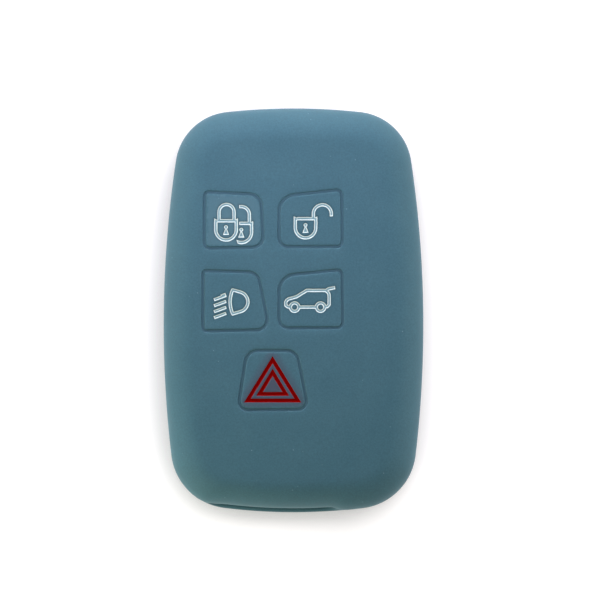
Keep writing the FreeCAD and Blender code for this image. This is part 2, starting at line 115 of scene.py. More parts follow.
# Slot for the key ring, and the front edge drawn back above it
SLOT_X = -4.33
SLOT_WIDTH = 26.0
SLOT_HEIGHT = 4.7
SLOT_FLOOR = 4.8
SLOT_OUTER_EDGE = 0.7
SLOT_BROW_SHARE = 0.4
SLOT_INNER_EDGE = 0.25
SLOT_MARGIN = 4.0
SLOT_STEPS = 26
SLOT_EDGE_STEPS = 5
DRAWN_BACK_WIDTH = 31.0
DRAWN_BACK_DEPTH = 0.9
DRAWN_BACK_LEFT_TAPER = 6.0
DRAWN_BACK_RIGHT_TAPER = 4.0
DRAWN_BACK_RISE = 1.2

# Grooves round the button pads, and the pressing bosses behind the pads
GROOVE_WIDTH = 0.65
GROOVE_DEPTH = 0.35
GROOVE_EDGE = 0.15
GROOVE_FOOT = 0.15
EDGE_STEPS = 4
UNDERSIDE_STEP = 0.3
BOSS_HEIGHT = 0.6
BOSS_EDGE = 0.2
OUTLINE_STEP = 0.4

# Symbols: a channel in the pad's face, filled with a dished line of ink.
# Rows of points run along the channel's edge at these distances from it, inside it where negative.
SYMBOL_STEP = 0.14
SYMBOL_ROWS = (0.3, 0.16, 0.07, -0.08, -0.17, -0.27)
SHOULDER_WIDTH = 0.14
SHOULDER_DROP = 0.05
INK_DISH = 0.15
INK_DISH_WIDTH = 0.3
INK_BODY = 0.22
INK_BODY_WIDTH = 0.15
CHANNEL_DEPTH = 0.27
CHANNEL_WIDTH = 0.12

# Spacing of points on broad faces, with rows as in a triangular grid, and how near to others they may come
FRONT_SPACING = 1.2
PAD_SPACING = 0.5
SLOT_SPACING = 0.6
GRID_ROW_SHARE = math.sqrt(0.75)
LEAST_GAP = 0.045
ROW_SLACK = 0.012
SYMBOL_CLEARANCE = max(SYMBOL_ROWS) + PAD_SPACING / 3
MERGE_DISTANCE = 0.003
SNAP_DISTANCE = MERGE_DISTANCE / 10

# Least angle at which an edge stays sharp
SHARP_ANGLE = math.radians(42)

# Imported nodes: decimals that tell their points apart, and the least that the normal of a level face rises
POINT_DECIMALS = 3
LEVEL_NORMAL = 0.5

# Buttons: the ink of each symbol, by the pad that carries it
INKS = {
    "lock": ["lock_front_padlock_ink", "lock_rear_padlock_ink", "lock_keyholes_ink"],
    "unlock": ["unlock_padlock_ink", "unlock_keyhole_ink"],
    "lights": ["lamp_ink", "lamp_beams_ink"],
    "tailgate": ["car_ink"],
    "hazard": ["hazard_outer_ink", "hazard_inner_ink"],
}
RED_BUTTON = "hazard"
# The button that carries a painted highlight
HIGHLIT_BUTTON = "lock"

# Patterns: widths and fineness of their features, the height of the grain, and the values that most of a
# noise lies between
CLOUD_WIDTH = 9.0
CLOUD_DETAIL = 3.0
GRAIN_WIDTH = 0.34
INK_GRAIN_WIDTH = 0.5
GRAIN_DETAIL = 2.0
GRAIN_HEIGHT = 0.02
NOISE_SPREAD = {"From Min": 0.3, "From Max": 0.7}

# Silicone: its tones, speckle and dust, and how its surface takes the light.
# A speck of dust fades with the distance from its middle, as a share of the spacing.
SILICONE_TONES = ("#406472", "#496c79")
SPECKLE = {**NOISE_SPREAD, "To Min": 0.9, "To Max": 1.1}
DUST_SPACING = 3.2
DUST_EDGE = {"From Min": 0.02, "From Max": 0.05, "To Min": 0.5, "To Max": 0.0}
DUST_TONE = "#86a3ae"
SILICONE_ROUGHNESS = {**NOISE_SPREAD, "To Min": 0.55, "To Max": 0.68}
SILICONE_BUMP = 0.25
SHEEN_TONE = "#bcd8e0"
SILICONE_FINISH = {
    "IOR": 1.41, "Specular IOR Level": 0.3,
    "Subsurface Weight": 0.12, "Subsurface Radius": (0.6, 1.0, 1.2), "Subsurface Scale": 1.2 * MM,
    "Sheen Weight": 0.25, "Sheen Roughness": 0.4,
}

# Marks, painted light and painted shade on the silicone in the order they lie on each other, how strong
# they are and how far they reach.
# Painted highlight: the lock button is painted paler from its middle outwards, for a soft reflection of a
# lamp.
# Painted light: the webs in the grooves are painted paler all over, to lift the shade in the grooves.
# Red ink leaves a faint bloom inside its outer triangle and beside it.
# Painted shade: the rolled shoulder of a channel is painted darker along the white ink.
MARK_AND_PAINTED_LIGHT_TONES = {"painted_light": "#5a7a86", "red_bloom": "#4a4254", "channel_painted_shade": "#22363f"}
HIGHLIGHT_STRENGTH = 0.58
HIGHLIGHT_REACH = 20.0
GROOVE_LIGHTENING = 0.45
BLOOM_INSIDE = 0.75
BLOOM_BESIDE = 0.5
BLOOM_REACH = 2.0
SHADE_STRENGTH = 0.6
SHADE_REACH = 0.34

# Ink: its tones by the distance in from its edge, how far that wavers, and its finish
INK_REACH = 0.4
INK_WAVER = {**NOISE_SPREAD, "To Min": -0.03, "To Max": 0.03}
WHITE_TONES = [
    (0.0, "#8aa8b0"), (0.06, "#f2f6ee"), (0.14, "#ecf2ec"), (0.23, "#8aa9b2"), (0.4, "#7e9fa9"),
]
RED_TONES = [(0.0, "#720202"), (0.12, "#8e0201"), (0.3, "#7e0100")]
WHITE_GLOSS = 0.3
RED_GLOSS = 0.02
INK_BUMP = 0.2
INK_FINISH = {"Roughness": 0.55, "IOR": 1.43}

# Floor: its size and tones. It glows by the share of open sky, looking towards the light, from the deepest
# shadow to the open, and not at all under the cover.
FLOOR_REACH = 3.0
FLOOR_DROP = 0.0002
FLOOR_TONE = "#b3b0b4"
FLOOR_FINISH = {"Roughness": 0.9, "Specular IOR Level": 0.0}
GLOW_TONE = "#fffbfb"
SHADOW_FROM = {"X": 0.14, "Y": 0.25, "Z": 0.95}
SHADOW_REACH = 0.014
SHADOW_GLOW = {"From Min": 0.385, "From Max": 0.835, "To Min": 0.4, "To Max": 1.0}
COVER_REACH = 0.1
COVERED_SKY = {"From Min": 0.12, "From Max": 0.32}

# Surroundings: light at the horizon, how much it gains towards the right and the top end, how fast it falls
# off upwards, and its tones beyond the bottom end and beyond the top end
HORIZON_LIGHT = 6.55
HORIZON_SWAY = (0.2, 5.05, 0.0)
HORIZON_FALL = 3.4
HORIZON_TONES = ("#f9feea", "#f4faff")

# Lamps: where each stands and points, its width, its power in watts and its tint
LAMPS = [
    {
        "name": "softbox over the top end", "place": (0.002, 0.055, 0.098), "aim": (0.002, 0.05, 0.0),
        "size": 0.1, "power": 0.0555, "tint": "#d9e1ff",
    },
    {
        "name": "softbox at the upper left", "place": (-0.048, 0.045, 0.06), "aim": (-0.014, 0.02, 0.018),
        "size": 0.05, "power": 0.0062, "tint": "#ecebff",
    },
    {
        "name": "window beyond the lower left", "place": (-0.4, -0.5, 0.45), "aim": (0.0, 0.0, 0.0),
        "size": 0.25, "power": 0.92, "tint": "#f8ffe8",
    },
    {
        "name": "card at the lower left", "place": (-0.06, -0.07, 0.03), "aim": (-0.02, -0.035, 0.01),
        "size": 0.04, "power": 0.0118, "tint": "#e8ffde",
    },
]

# Camera straight above the cover. The frame's width holds at half the cover's thickness.
# The sensor is in millimetres.
FRAME_WIDTH = 0.12475
CAMERA_HEIGHT = 4.0
AIM = (0.00135, 0.00218)
SENSOR = 36.0


# Nodes and materials

def set_inputs(tree, node, inputs):
    """Sets a node's inputs, by name or number. Each is a plain value, or another node's output to link."""
    for key, value in inputs.items():
        if isinstance(value, bpy.types.NodeSocket):
            tree.links.new(value, node.inputs[key])
        else:
            node.inputs[key].default_value = value


def add(tree, kind, inputs=None, **settings):
    """Adds a node with its settings and inputs."""
    node = tree.nodes.new(kind)
    for name, value in settings.items():
        setattr(node, name, value)
    set_inputs(tree, node, inputs or {})
    return node


def colour(code):
    """An sRGB hex colour as linear red, green, blue and alpha."""
    channels = [int(code[i:i + 2], 16) / 255 for i in (1, 3, 5)]
    linear = [c / 12.92 if c <= 0.04045 else ((c + 0.055) / 1.055) ** 2.4 for c in channels]
    return (*linear, 1.0)


def per_metre(size):
    """The scale of a pattern whose features are this many millimetres wide."""
    return 1 / (size * MM)


def new_material(name):
    material = bpy.data.materials.new(name)
    material.use_nodes = True
    tree = material.node_tree
    return material, tree, tree.nodes["Principled BSDF"]


def moulded_silicone():
    """Silicone rubber from a fine-blasted mould: matt and a little waxy, with a soft sheen at its edges."""
    material, tree, shader = new_material("moulded silicone")
    place = add(tree, "ShaderNodeTexCoord").outputs["Object"]
    cloud = add(
        tree, "ShaderNodeTexNoise",
        {"Vector": place, "Scale": per_metre(CLOUD_WIDTH), "Detail": CLOUD_DETAIL},
    )
    # The mould's blasting is nearer 0.05 mm, drawn coarser here so that it shows
    grain = add(
        tree, "ShaderNodeTexNoise",
        {"Vector": place, "Scale": per_metre(GRAIN_WIDTH), "Detail": GRAIN_DETAIL},
    ).outputs["Fac"]
    deep, light = map(colour, SILICONE_TONES)
    clouded = add(tree, "ShaderNodeMix", {0: cloud.outputs["Fac"], 6: deep, 7: light}, data_type="RGBA")
    speckle = add(tree, "ShaderNodeMapRange", {"Value": grain, **SPECKLE})
    tone = add(
        tree, "ShaderNodeMix",
        {0: 1.0, 6: clouded.outputs[2], 7: speckle.outputs[0]}, data_type="RGBA", blend_type="MULTIPLY",
    )
    # Sparse dust caught in the surface, and over it the marks, the painted light and the painted shade
    dust = add(tree, "ShaderNodeTexVoronoi", {"Vector": place, "Scale": per_metre(DUST_SPACING)})
    dusty = add(tree, "ShaderNodeMapRange", {"Value": dust.outputs["Distance"], **DUST_EDGE})
    layers = [(dusty.outputs[0], DUST_TONE)]
    for mark, mark_tone in MARK_AND_PAINTED_LIGHT_TONES.items():
        share = add(tree, "ShaderNodeAttribute", attribute_name=mark)
        layers.append((share.outputs["Fac"], mark_tone))
    for share, layer_tone in layers:
        mix = {0: share, 6: tone.outputs[2], 7: colour(layer_tone)}
        tone = add(tree, "ShaderNodeMix", mix, data_type="RGBA")
    rough = add(tree, "ShaderNodeMapRange", {"Value": grain, **SILICONE_ROUGHNESS})
    bump = add(
        tree, "ShaderNodeBump",
        {"Height": grain, "Strength": SILICONE_BUMP, "Distance": GRAIN_HEIGHT * MM},
    )
    set_inputs(tree, shader, {
        "Base Color": tone.outputs[2], "Roughness": rough.outputs[0], "Normal": bump.outputs[0],
        "Sheen Tint": colour(SHEEN_TONE), **SILICONE_FINISH,
    })
    return material


def channel_ink(name, tones, gloss):
    """Silicone ink wiped into a channel: thick at its rims, thin and see-through along the middle."""
    material, tree, shader = new_material(name)
    place = add(tree, "ShaderNodeTexCoord").outputs["Object"]
    depth = add(tree, "ShaderNodeAttribute", attribute_name="stroke_depth").outputs["Fac"]
    grain = add(
        tree, "ShaderNodeTexNoise",
        {"Vector": place, "Scale": per_metre(INK_GRAIN_WIDTH), "Detail": GRAIN_DETAIL},
    ).outputs["Fac"]
    # The wiping wavers a little along the stroke
    waver = add(tree, "ShaderNodeMapRange", {"Value": grain, **INK_WAVER})
    wavering = add(tree, "ShaderNodeMath", {0: depth, 1: waver.outputs[0]}, operation="ADD")
    across = add(
        tree, "ShaderNodeMapRange", {"Value": wavering.outputs[0], "From Min": 0.0, "From Max": INK_REACH},
    )
    tone = add(tree, "ShaderNodeValToRGB", {"Fac": across.outputs[0]})
    steps = tone.color_ramp.elements
    while len(steps) < len(tones):
        steps.new(1.0)
    for step, (depth_mm, code) in zip(steps, tones):
        step.position = depth_mm / INK_REACH
        step.color = colour(code)
    bump = add(
        tree, "ShaderNodeBump", {"Height": grain, "Strength": INK_BUMP, "Distance": GRAIN_HEIGHT * MM},
    )
    set_inputs(tree, shader, {
        "Base Color": tone.outputs["Color"], "Normal": bump.outputs[0],
        "Specular IOR Level": gloss, **INK_FINISH,
    })
    return material


# Sweeps: a section carried round a closed path

def moulded_sweep_tree():
    """A section carried round a path, and lowered where the front face falls away from its crown."""
    tree = bpy.data.node_groups.new("moulded sweep", "GeometryNodeTree")
    sockets = [
        ("Path", "NodeSocketGeometry"), ("Section", "NodeSocketObject"),
        ("Crown across", "NodeSocketFloat"), ("Crown along", "NodeSocketFloat"),
        ("Crown foot", "NodeSocketFloat"), ("Crown head", "NodeSocketFloat"),
        ("Material", "NodeSocketMaterial"),
    ]
    for name, kind in sockets:
        tree.interface.new_socket(name, in_out="INPUT", socket_type=kind)
    tree.interface.new_socket("Moulding", in_out="OUTPUT", socket_type="NodeSocketGeometry")
    size = add(tree, "NodeGroupInput").outputs
    section = add(tree, "GeometryNodeObjectInfo", {"Object": size["Section"]})
    swept = add(
        tree, "GeometryNodeCurveToMesh",
        {"Curve": size["Path"], "Profile Curve": section.outputs["Geometry"]},
    )
    position = add(tree, "GeometryNodeInputPosition")
    place = add(tree, "ShaderNodeSeparateXYZ", {0: position.outputs[0]}).outputs
    falls = []
    for axis, radius in (("X", "Crown across"), ("Y", "Crown along")):
        square = add(tree, "ShaderNodeMath", {0: place[axis], 1: place[axis]}, operation="MULTIPLY")
        fall = add(tree, "ShaderNodeMath", {0: square.outputs[0], 1: size[radius]}, operation="DIVIDE")
        falls.append(fall.outputs[0])
    # A shallow arc falls by half the square over its radius, less down the walls to the crown's foot
    share = add(
        tree, "ShaderNodeMapRange",
        {
            "Value": place["Z"], "From Min": size["Crown foot"], "From Max": size["Crown head"],
            "To Min": 0.0, "To Max": -1 / 2,
        },
    )
    both = add(tree, "ShaderNodeMath", {0: falls[0], 1: falls[1]}, operation="ADD")
    lowering = add(tree, "ShaderNodeMath", {0: both.outputs[0], 1: share.outputs[0]}, operation="MULTIPLY")
    offset = add(tree, "ShaderNodeCombineXYZ", {"Z": lowering.outputs[0]})
    crowned = add(
        tree, "GeometryNodeSetPosition", {"Geometry": swept.outputs[0], "Offset": offset.outputs[0]},
    )
    realized = add(tree, "GeometryNodeRealizeInstances", {"Geometry": crowned.outputs[0]})
    dressed = add(
        tree, "GeometryNodeSetMaterial",
        {"Geometry": realized.outputs[0], "Material": size["Material"]},
    )
    add(tree, "NodeGroupOutput", {"Moulding": dressed.outputs[0]})
    return tree


def poly_curve(name, points, closed):
    data = bpy.data.curves.new(name, "CURVE")
    data.dimensions = "3D"
    data.twist_mode = "Z_UP"
    spline = data.splines.new("POLY")
    spline.points.add(len(points) - 1)
    for point, place in zip(spline.points, points):
        point.co = (*place, 1.0)
    spline.use_cyclic_u = closed
    curve = bpy.data.objects.new(name, data)
    bpy.context.scene.collection.objects.link(curve)
    return curve


def sweep(path, section, closed=False):
    """Points and faces of a section of (outward, height) steps carried round an anticlockwise path."""
    rail = poly_curve("rail", [(x, y, 0.0) for x, y in path], True)
    profile = poly_curve("profile", [(out, -height, 0.0) for out, height in section], closed)
    modifier = rail.modifiers.new("moulded sweep", "NODES")
    modifier.node_group = SWEEP
    sizes = {
        "Section": profile, "Crown across": CROWN_ACROSS, "Crown along": CROWN_ALONG,
        "Crown foot": BACK_ROLL, "Crown head": THICKNESS - FRONT_ROLL, "Material": SILICONE,
    }
    for socket in SWEEP.interface.items_tree:
        if socket.name in sizes:
            modifier[socket.identifier] = sizes[socket.name]
    graph = bpy.context.evaluated_depsgraph_get()
    mesh = bpy.data.meshes.new_from_object(rail.evaluated_get(graph))
    rail.modifiers.remove(modifier)
    points = np.array([v.co for v in mesh.vertices]).reshape(len(path), len(section), 3)
    faces = [tuple(polygon.vertices) for polygon in mesh.polygons]
    for used in (rail, profile):
        bpy.data.objects.remove(used)
    bpy.data.meshes.remove(mesh)
    return points, faces


def arc(centre, radius, start, end, steps):
    """Points along an arc, from one angle in degrees to another."""
    angles = np.radians(np.linspace(start, end, steps + 1))
    return [(centre[0] + radius * math.cos(a), centre[1] + radius * math.sin(a)) for a in angles]


# Outlines in the plane

def circles_meet(first, first_radius, second, second_radius, up):
    """Where two circles cross, on the right and on the upper or lower side."""
    first = np.array(first)
    apart = np.array(second) - first
    gap = np.linalg.norm(apart)
    reach = (first_radius**2 - second_radius**2 + gap**2) / (2 * gap)
    rise = math.sqrt(first_radius**2 - reach**2)
    foot = first + apart * reach / gap
    turn = np.array([-apart[1], apart[0]]) * rise / gap
    return max((foot + turn, foot - turn), key=lambda p: p[0] + up * p[1])


def heading(start, end):
    return math.atan2(end[1] - start[1], end[0] - start[0])


def cover_outline(inset, top_corner, bottom_corner):
    """The cover's outline moved in by inset, anticlockwise from the foot of the right side."""
    top = (0.0, LENGTH / 2 - TOP_ARC)
    bottom = (0.0, BOTTOM_ARC - LENGTH / 2)
    side = (WIDTH / 2 - SIDE_ARC, WIDEST_Y)
    side_radius = SIDE_ARC - inset
    upper = circles_meet(top, TOP_ARC - inset - top_corner, side, side_radius - top_corner, 1)
    lower = circles_meet(
        bottom, BOTTOM_ARC - inset - bottom_corner, side, side_radius - bottom_corner, -1,
    )
    turns = [heading(side, lower), heading(side, upper), heading(top, upper)]
    low_turn = heading(bottom, lower)
    turns += [math.pi - turn for turn in reversed(turns)]
    turns += [math.pi - low_turn, 2 * math.pi + low_turn, 2 * math.pi + turns[0]]
    arcs = [
        (side, side_radius, SIDE_STEPS),
        (upper, top_corner, CORNER_STEPS),
        (top, TOP_ARC - inset, END_STEPS),
        ((-upper[0], upper[1]), top_corner, CORNER_STEPS),
        ((-side[0], side[1]), side_radius, SIDE_STEPS),
        ((-lower[0], lower[1]), bottom_corner, CORNER_STEPS),
        (bottom, BOTTOM_ARC - inset, END_STEPS),
        (lower, bottom_corner, CORNER_STEPS),
    ]
    points = []
    for (centre, radius, steps), start, end in zip(arcs, turns, turns[1:]):
        points += arc(centre, radius, math.degrees(start), math.degrees(end), steps)[:-1]
    return np.array(points)


def face_loops(node, wanted):
    """Closed outlines, in plan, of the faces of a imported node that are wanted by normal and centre."""
    mesh = frame["nodes"][node].data
    mesh.calc_loop_triangles()
    corners = np.array([v.co for v in mesh.vertices]) / MM
    keys = [tuple(row) for row in np.round(corners[:, :2], POINT_DECIMALS)]
    edges = set()
    for triangle in mesh.loop_triangles:
        a, b, c = (keys[i] for i in triangle.vertices)
        has_area = len({a, b, c}) == 3
        if has_area and wanted(triangle.normal, corners[list(triangle.vertices)].mean(0)):
            edges.update([(a, b), (b, c), (c, a)])
    following = {a: b for a, b in sorted(edges) if (b, a) not in edges}
    loops = []
    while following:
        start = min(following)
        loop = [start]
        point = following.pop(start)
        while point != start:
            loop.append(point)
            point = following.pop(point)
        loops.append(np.array(loop))
    return loops


def faces_up(normal, centre):
    return normal.z > LEVEL_NORMAL


def faces_down_below_ceiling(normal, centre):
    """Whether a face is the bottom of a boss, under the inner side of the front wall."""
    ceiling = crown(centre[None, :2])[0] - FRONT_WALL
    return normal.z < -LEVEL_NORMAL and centre[2] < ceiling - BOSS_HEIGHT / 2


def area(loop):
    after = np.roll(loop, -1, axis=0)
    return np.sum(loop[:, 0] * after[:, 1] - loop[:, 1] * after[:, 0]) / 2


def anticlockwise(loop):
    return loop if area(loop) > 0 else loop[::-1]


def divided(loop, step):
    """A loop with its long edges divided and its very short ones dropped."""
    lengths = np.linalg.norm(loop - np.roll(loop, 1, axis=0), axis=1)
    loop = loop[lengths > LEAST_GAP / 2]
    points = []
    for start, end in zip(loop, np.roll(loop, -1, axis=0)):
        count = math.ceil(np.linalg.norm(end - start) / step)
        points += [start + (end - start) * i / count for i in range(count)]
    return np.array(points)


def crown(points):
    """Height of the front face over points in the plane."""
    return THICKNESS - points[:, 0] ** 2 / (2 * CROWN_ACROSS) - points[:, 1] ** 2 / (2 * CROWN_ALONG)


# Filling flat regions with triangles

def inside(points, loops):
    """Whether each point lies inside an odd number of loops."""
    odd = np.zeros(len(points), bool)
    for loop in loops:
        after = np.roll(loop, -1, axis=0)
        for (x0, y0), (x1, y1) in zip(loop, after):
            if y0 != y1:
                crosses = (points[:, 1] < y0) != (points[:, 1] < y1)
                odd ^= crosses & (points[:, 0] < x0 + (points[:, 1] - y0) * (x1 - x0) / (y1 - y0))
    return odd


def distance(points, loops):
    """Distance from each point to the nearest edge of the loops."""
    nearest = np.full(len(points), np.inf)
    for loop in loops:
        for start, end in zip(loop, np.roll(loop, -1, axis=0)):
            run = end - start
            share = np.clip((points - start) @ run / (run @ run), 0, 1)
            nearest = np.minimum(nearest, np.linalg.norm(points - start - share[:, None] * run, axis=1))
    return nearest


def signed_distance(points, loops):
    """Distance to the loops' edges, negative inside them."""
    return np.where(inside(points, loops), -1, 1) * distance(points, loops)


def grid_over(loops, spacing, clearance):
    """Points in a triangular grid inside the loops, clear of their edges."""
    low = loops[0].min(0)
    high = loops[0].max(0)
    rows = []
    for i, y in enumerate(np.arange(low[1], high[1], spacing * GRID_ROW_SHARE)):
        x = np.arange(low[0] + spacing * (i % 2) / 2, high[0], spacing)
        rows.append(np.column_stack([x, np.full(len(x), y)]))
    points = np.vstack(rows)
    points = points[inside(points, loops)]
    return points[distance(points, loops) > clearance]


def triangulate(loops, extra):
    """Triangles over loops of points and extra points; the loops' own edges are kept."""
    points = np.vstack(loops + [extra])
    edges = []
    for loop in loops:
        first = len(edges)
        edges += [(first + i, first + (i + 1) % len(loop)) for i in range(len(loop))]
    result = delaunay_2d_cdt([Vector(p) for p in points], edges, [], 0, SNAP_DISTANCE)
    origin = [sources[0] for sources in result[3]]
    return points, np.array([[origin[i] for i in face] for face in result[2]])


def filled(loops, spacing):
    """Points and triangles of the region inside an odd number of loops."""
    points, triangles = triangulate(loops, grid_over(loops, spacing, spacing / 2))
    return points, triangles[inside(points[triangles].mean(1), loops)]


def raised(flat, height):
    return np.column_stack([flat, height])


# Pieces

def make_piece(name, parts, material, slot, **values):
    """A closed mesh piece from parts of points and faces, with a value for each point where given."""
    points = np.vstack([part[0].reshape(-1, 3) for part in parts])
    faces = []
    first = 0
    for part_points, part_faces in parts:
        faces += [[first + int(i) for i in face] for face in part_faces]
        first += part_points.size // 3
    mesh = bpy.data.meshes.new(name)
    mesh.from_pydata(points * MM, [], faces)
    for key, numbers in values.items():
        layer = mesh.attributes.new(key, "FLOAT", "POINT")
        layer.data.foreach_set("value", np.asarray(numbers, np.float32))
    form = bmesh.new()
    form.from_mesh(mesh)
    bmesh.ops.remove_doubles(form, verts=form.verts, dist=MERGE_DISTANCE * MM)
    bmesh.ops.recalc_face_normals(form, faces=form.faces)
    form.to_mesh(mesh)
    form.free()
    mesh.shade_smooth()
    mesh.set_sharp_from_angle(angle=SHARP_ANGLE)
    mesh.materials.append(material)
    piece = bpy.data.objects.new(name, mesh)
    bpy.context.scene.collection.objects.link(piece)
    return piece


def bridge(first, second):
    """A strip of faces between two closed rows of points with as many points each."""
    count = len(first)
    points = np.vstack([first, second])
    faces = [(i, (i + 1) % count, count + (i + 1) % count, count + i) for i in range(count)]
    return points, faces


def ramp(value):
    """Rises smoothly from 0 to 1 as value does, and stays there."""
    value = np.clip(value, 0, 1)
    return value * value * (3 - 2 * value)


# Sleeve

def drawn_back(points, inset):
    """Points of the outer skin, with the front edge above the slot drawn in towards the face."""
    x, z = points[:, 0], points[:, 2]
    left = SLOT_X - DRAWN_BACK_WIDTH / 2
    right = SLOT_X + DRAWN_BACK_WIDTH / 2
    across = ramp((x - left) / DRAWN_BACK_LEFT_TAPER) * ramp((right - x) / DRAWN_BACK_RIGHT_TAPER)
    middle = SLOT_FLOOR + SLOT_HEIGHT / 2
    up = ramp((z - middle + DRAWN_BACK_RISE) / (2 * DRAWN_BACK_RISE))
    over = ramp(1 - inset / FRONT_ROLL)
    depth = DRAWN_BACK_DEPTH * across * up * over * (points[:, 1] < 0)
    return points + np.column_stack([np.zeros(len(x)), depth, np.zeros(len(x))])


def slot_loop(grow):
    """The slot's outline across and up, grown fully at its lip below and partly at its brow above."""
    half = (SLOT_WIDTH - SLOT_HEIGHT) / 2
    radius = (SLOT_HEIGHT + grow * (1 + SLOT_BROW_SHARE)) / 2
    middle = SLOT_FLOOR - grow + radius
    points = arc((SLOT_X + half, middle), radius, -90, 90, SLOT_STEPS)
    points += arc((SLOT_X - half, middle), radius, 90, 270, SLOT_STEPS)
    return divided(np.array(points), OUTLINE_STEP)


def on_wall(flat, run):
    """Points given across and up, set on a wall with this run in plan."""
    return np.column_stack([flat[:, 0], np.interp(flat[:, 0], run[:, 0], run[:, 1]), flat[:, 1]])


def on_outer_wall(flat, run):
    """Points given across and up, set on the outer wall where it is drawn back."""
    return drawn_back(on_wall(flat, run), np.zeros(len(flat)))


def block_border(points, columns, rows):
    """The border of a block of swept points, across and up, anticlockwise from its lower left."""
    across_up = points[:, :, [0, 2]]
    rising = sorted(rows, key=lambda row: across_up[columns[0], row, 1])
    bottom = [across_up[i, rising[0]] for i in columns]
    right = [across_up[columns[-1], row] for row in rising[1:-1]]
    top = [across_up[i, rising[-1]] for i in reversed(columns)]
    left = [across_up[columns[0], row] for row in reversed(rising[1:-1])]
    return np.array(bottom + right + top + left)


def outside_block(faces, columns, rows, section_steps):
    """Faces of a sweep outside a block of columns and rows."""
    block = {column * section_steps + row for column in columns for row in rows}
    return [face for face in faces if not all(i in block for i in face)]


def slot_tunnel(outer_run, inner_run):
    """Strips of faces through the slot, rounded at both of its edges."""
    rows = []
    for turn in np.linspace(0, math.pi / 2, SLOT_EDGE_STEPS + 1):
        edge = slot_loop(SLOT_OUTER_EDGE * (1 - math.sin(turn)))
        rows.append(on_outer_wall(edge, outer_run) + [0, SLOT_OUTER_EDGE * (1 - math.cos(turn)), 0])
    for turn in np.linspace(math.pi / 2, 0, SLOT_EDGE_STEPS + 1):
        edge = slot_loop(SLOT_INNER_EDGE * (1 - math.sin(turn)))
        rows.append(on_wall(edge, inner_run) - [0, SLOT_INNER_EDGE * (1 - math.cos(turn)), 0])
    return [bridge(first, second) for first, second in zip(rows, rows[1:])]


def slot_parts(outer, inner, columns, rows):
    """The bottom wall round the slot, outside and inside, and the way through it."""
    outer_run = outer[columns, ROLL_STEPS, :2]
    inner_run = inner[columns, ROLL_STEPS, :2]
    outer_loops = [block_border(outer, columns, rows), slot_loop(SLOT_OUTER_EDGE)]
    inner_loops = [block_border(inner, columns, rows), slot_loop(SLOT_INNER_EDGE)]
    outer_flat, outer_faces = filled(outer_loops, SLOT_SPACING)
    inner_flat, inner_faces = filled(inner_loops, SLOT_SPACING)
    walls = [
        (on_outer_wall(outer_flat, outer_run), outer_faces),
        (on_wall(inner_flat, inner_run), inner_faces),
    ]
    return walls + slot_tunnel(outer_run, inner_run)


def front_parts(outer_edge, inner_edge, openings):
    """The front wall: the rims of its openings for the buttons, its face and its inner side."""
    under = THICKNESS - FRONT_WALL
    rim = arc((GROOVE_EDGE, THICKNESS - GROOVE_EDGE), GROOVE_EDGE, 90, 180, EDGE_STEPS)
    rim += [(0.0, under), (UNDERSIDE_STEP, under)]
    parts = [sweep(opening, rim) for opening in openings]
    front_loops = [outer_edge] + [points[:, 0, :2] for points, _ in parts]
    ceiling_loops = [inner_edge] + [points[:, -1, :2] for points, _ in parts]
    front, front_faces = filled(front_loops, FRONT_SPACING)
    ceiling, ceiling_faces = filled(ceiling_loops, FRONT_SPACING)
    parts.append((raised(front, crown(front)), front_faces))
    parts.append((raised(ceiling, crown(ceiling) - FRONT_WALL), ceiling_faces))
    return parts


def sleeve_sections():
    """Sections of the outer skin, of the bead round the mouth and of the pocket."""
    shoulder = THICKNESS - FRONT_ROLL
    wall = [(0.0, z) for z in np.linspace(shoulder, BACK_ROLL, WALL_STEPS + 1)]
    skin = arc((-FRONT_ROLL, shoulder), FRONT_ROLL, 90, 0, ROLL_STEPS)
    skin += wall[1:-1] + arc((-BACK_ROLL, BACK_ROLL), BACK_ROLL, 0, -90, ROLL_STEPS)
    bead = arc((LIP_EDGE, LIP_EDGE), LIP_EDGE, 270, 180, LIP_STEPS)
    bead += arc((LIP_EDGE, BACK_WALL - LIP_EDGE), LIP_EDGE, 180, 90, LIP_STEPS)
    back_hollow = BACK_ROLL - BACK_WALL
    brow = THICKNESS - FRONT_WALL - FRONT_HOLLOW
    pocket = arc((-SIDE_WALL - back_hollow, BACK_ROLL), back_hollow, -90, 0, ROLL_STEPS)
    pocket += [(-SIDE_WALL, z) for z in np.linspace(BACK_ROLL, brow, WALL_STEPS + 1)[1:-1]]
    pocket += arc((-SIDE_WALL - FRONT_HOLLOW, brow), FRONT_HOLLOW, 0, 90, ROLL_STEPS)
    return skin, bead, pocket


def make_sleeve(openings):
    """The sleeve: outer skin, lip, pocket, slot and front wall."""
    outline = cover_outline(0.0, TOP_CORNER, BOTTOM_CORNER)
    mouth = cover_outline(LIP_WIDTH, MOUTH_CORNER, MOUTH_CORNER)
    skin, bead, pocket = sleeve_sections()
    outer, outer_faces = sweep(outline, skin)
    lip, lip_faces = sweep(mouth, bead)
    inner, inner_faces = sweep(outline, pocket)
    columns = [
        i for i, (x, y) in enumerate(outline)
        if abs(x - SLOT_X) < SLOT_WIDTH / 2 + SLOT_MARGIN and y < -LENGTH / 4
    ]
    rows = list(range(ROLL_STEPS, ROLL_STEPS + WALL_STEPS + 1))
    insets = np.tile([-out for out, _ in skin], len(outline))
    outer_drawn = drawn_back(outer.reshape(-1, 3), insets)
    parts = [
        (outer_drawn, outside_block(outer_faces, columns, rows, len(skin))),
        bridge(outer[:, -1], lip[:, 0]),
        (lip, lip_faces),
        bridge(lip[:, -1], inner[:, 0]),
        (inner, outside_block(inner_faces, columns, rows, len(pocket))),
    ]
    parts += slot_parts(outer, inner, columns, rows)
    parts += front_parts(outer[:, 0, :2], inner[:, -1, :2], openings)
    sleeve = make_piece("silicone_sleeve", parts, SILICONE, "silicone")
    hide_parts("cover_sleeve")
    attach(sleeve, "cover")


# Buttons

